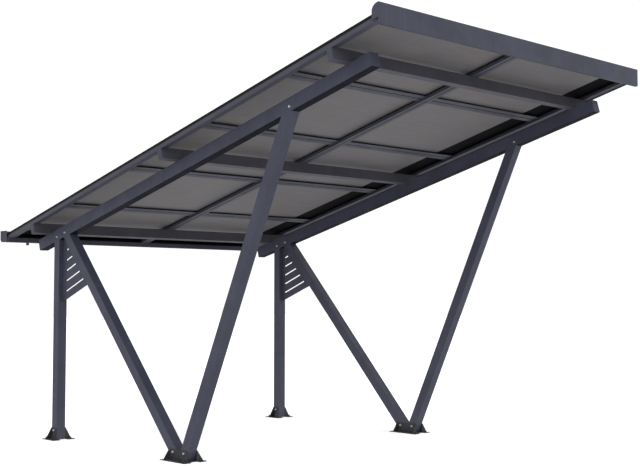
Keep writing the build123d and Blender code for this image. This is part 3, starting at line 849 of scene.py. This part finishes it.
class CARPORT_OT_screws(bpy.types.Operator):
    """Screw the gussets' strips to the rear posts and the rear struts"""

    bl_idname = "carport.screws"
    bl_label = "Gusset Screws"

    def execute(self, context):
        coat = context.scene.carport_coat
        size = context.scene.carport_fixings.screw
        finish = powder_coat("coated_screws", coat.frame_colour, coat, 0.6)
        foot, run, outward = REAR_STRUT
        strut_face = foot + outward * (TUBE / 2 + GUSSET_STRIP)
        rows = [(Vector((0, -GUSSET_STRIP, z)), Vector((0, -1, 0))) for z in POST_SCREWS]
        rows += [(strut_face + run * along, outward) for along in STRUT_SCREWS]
        for side, sign in SIDES.items():
            bm = bmesh.new()
            for place, facing in rows:
                for x in (-SCREW_X, SCREW_X):
                    middle = Vector((sign * FRAME_X + x, POST_FRONT_Y, 0)) + place
                    matrix = turned_to(middle, facing)
                    add_disc(bm, size, 0.0, 0.1 * size, 16, matrix)
                    add_disc(bm, 0.9 * size, 0.1 * size, 0.75 * size, 16, matrix, 0.25 * size)
            make_piece(f"gusset_screws_{side}", bm, finish)
        return {"FINISHED"}


class CARPORT_OT_anchors(bpy.types.Operator):
    """Set anchor studs with nuts in the holes of the feet"""

    bl_idname = "carport.anchors"
    bl_label = "Anchor Bolts"

    def execute(self, context):
        fixings = context.scene.carport_fixings
        zinc = flaked_zinc("weathered_anchors", fixings.anchor_colour)
        size = fixings.bolt
        for side, sign in SIDES.items():
            for foot, centre_u, half in ANCHORED_FEET:
                bm = bmesh.new()
                for x in (-ANCHOR_X, ANCHOR_X):
                    for u in (-half, half):
                        place = Vector((sign * FRAME_X + x, POST_FRONT_Y + centre_u + u, 0))
                        add_disc(bm, size / 2, STUD_BASE, FLANGE, 14, Matrix.Translation(place))
                        place.z = FLANGE
                        add_nut(bm, size, STUD_REACH, Matrix.Translation(place))
                make_piece(f"anchor_bolts_{side}_{foot}", bm, zinc)
        return {"FINISHED"}


class CARPORT_OT_studio(bpy.types.Operator):
    """Lay the pale floor and set the light and the camera"""

    bl_idname = "carport.studio"
    bl_label = "Studio"

    def light_from_around(self, tree, studio):
        """White where the camera looks. The pieces get more light from the left and the front."""
        direction = split(tree, add_node(tree, "TexCoord").outputs["Generated"])
        glow = fade(tree, direction["Z"], -0.25, 0.9, studio.ground, studio.sky)
        sideways = fade(tree, direction["X"], 0.8, -0.8, *LIGHT_RIGHT_LEFT)
        lengthways = fade(tree, direction["Y"], 0.8, -0.8, *LIGHT_REAR_FRONT)
        glow = product(tree, glow, sideways, lengthways)
        seen = add_node(tree, "LightPath").outputs["Is Camera Ray"]
        glow = maths(tree, "MAXIMUM", glow, product(tree, seen, SEEN_WHITE))
        background = tree.nodes["Background"]
        background.inputs["Color"].default_value = (1, 1, 1, 1)
        plug(tree, background.inputs["Strength"], glow)

    def execute(self, context):
        studio = context.scene.carport_studio
        scene = context.scene
        bm = bmesh.new()
        matrix = Matrix.Translation((0, 0, -FLOOR_DROP))
        bmesh.ops.create_grid(bm, x_segments=2, y_segments=2, size=FLOOR_HALF, matrix=matrix)
        mesh = bpy.data.meshes.new("studio_floor")
        bm.to_mesh(mesh)
        bm.free()
        mesh.materials.append(pale_floor("studio_floor", studio.floor_colour))
        floor = bpy.data.objects.new("studio_floor", mesh)
        scene.collection.objects.link(floor)
        floor.visible_diffuse = False
        floor.visible_glossy = False

        world = bpy.data.worlds.new("studio_surroundings")
        world.use_nodes = True
        self.light_from_around(world.node_tree, studio)
        scene.world = world

        light = bpy.data.lights.new("key_light", "AREA")
        light.shape = "DISK"
        light.size = KEY_SIZE
        light.energy = studio.key
        key = bpy.data.objects.new("key_light", light)
        scene.collection.objects.link(key)
        key.matrix_world = turned_to(KEY_PLACE, KEY_PLACE - KEY_AIM)

        camera_data = bpy.data.cameras.new("studio_camera")
        camera_data.sensor_width = SENSOR
        camera_data.lens = studio.lens
        camera = bpy.data.objects.new("studio_camera", camera_data)
        camera.location = CAMERA_PLACE
        camera.rotation_euler = CAMERA_TURN
        scene.collection.objects.link(camera)
        scene.camera = camera
        scene.view_settings.view_transform = "Standard"
        return {"FINISHED"}


class CARPORT_PT_sidebar(bpy.types.Panel):
    """Carport finishes"""

    bl_label = "Carport"
    bl_idname = "CARPORT_PT_sidebar"
    bl_space_type = "VIEW_3D"
    bl_region_type = "UI"
    bl_category = "Carport"

    def draw(self, context):
        for settings, steps in LISTED:
            box = self.layout.box()
            group = getattr(context.scene, settings)
            for name in group.__annotations__:
                box.prop(group, name)
            for step in steps:
                box.operator(step.bl_idname)


SETTINGS = {
    "carport_coat": CarportCoat,
    "carport_panels": CarportPanels,
    "carport_fixings": CarportFixings,
    "carport_studio": CarportStudio,
}
FIXING_STEPS = (
    CARPORT_OT_seals,
    CARPORT_OT_caps,
    CARPORT_OT_bolts,
    CARPORT_OT_screws,
    CARPORT_OT_anchors,
)
LISTED = (
    ("carport_coat", (CARPORT_OT_coat,)),
    ("carport_panels", (CARPORT_OT_panels,)),
    ("carport_fixings", FIXING_STEPS),
    ("carport_studio", (CARPORT_OT_studio,)),
)
OPERATORS = [step for _, steps in LISTED for step in steps]
CLASSES = (*SETTINGS.values(), *OPERATORS, CARPORT_PT_sidebar)


def register():
    for item in CLASSES:
        bpy.utils.register_class(item)
    for name, group in SETTINGS.items():
        setattr(bpy.types.Scene, name, PointerProperty(type=group))


def unregister():
    for name in SETTINGS:
        delattr(bpy.types.Scene, name)
    for item in reversed(CLASSES):
        bpy.utils.unregister_class(item)


def main():
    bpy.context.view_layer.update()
    register()
    bpy.ops.carport.coat()
    bpy.ops.carport.panels()
    bpy.ops.carport.seals()
    bpy.ops.carport.caps()
    bpy.ops.carport.bolts()
    bpy.ops.carport.screws()
    bpy.ops.carport.anchors()
    bpy.ops.carport.studio()


if __name__ == "__main__":
    main()
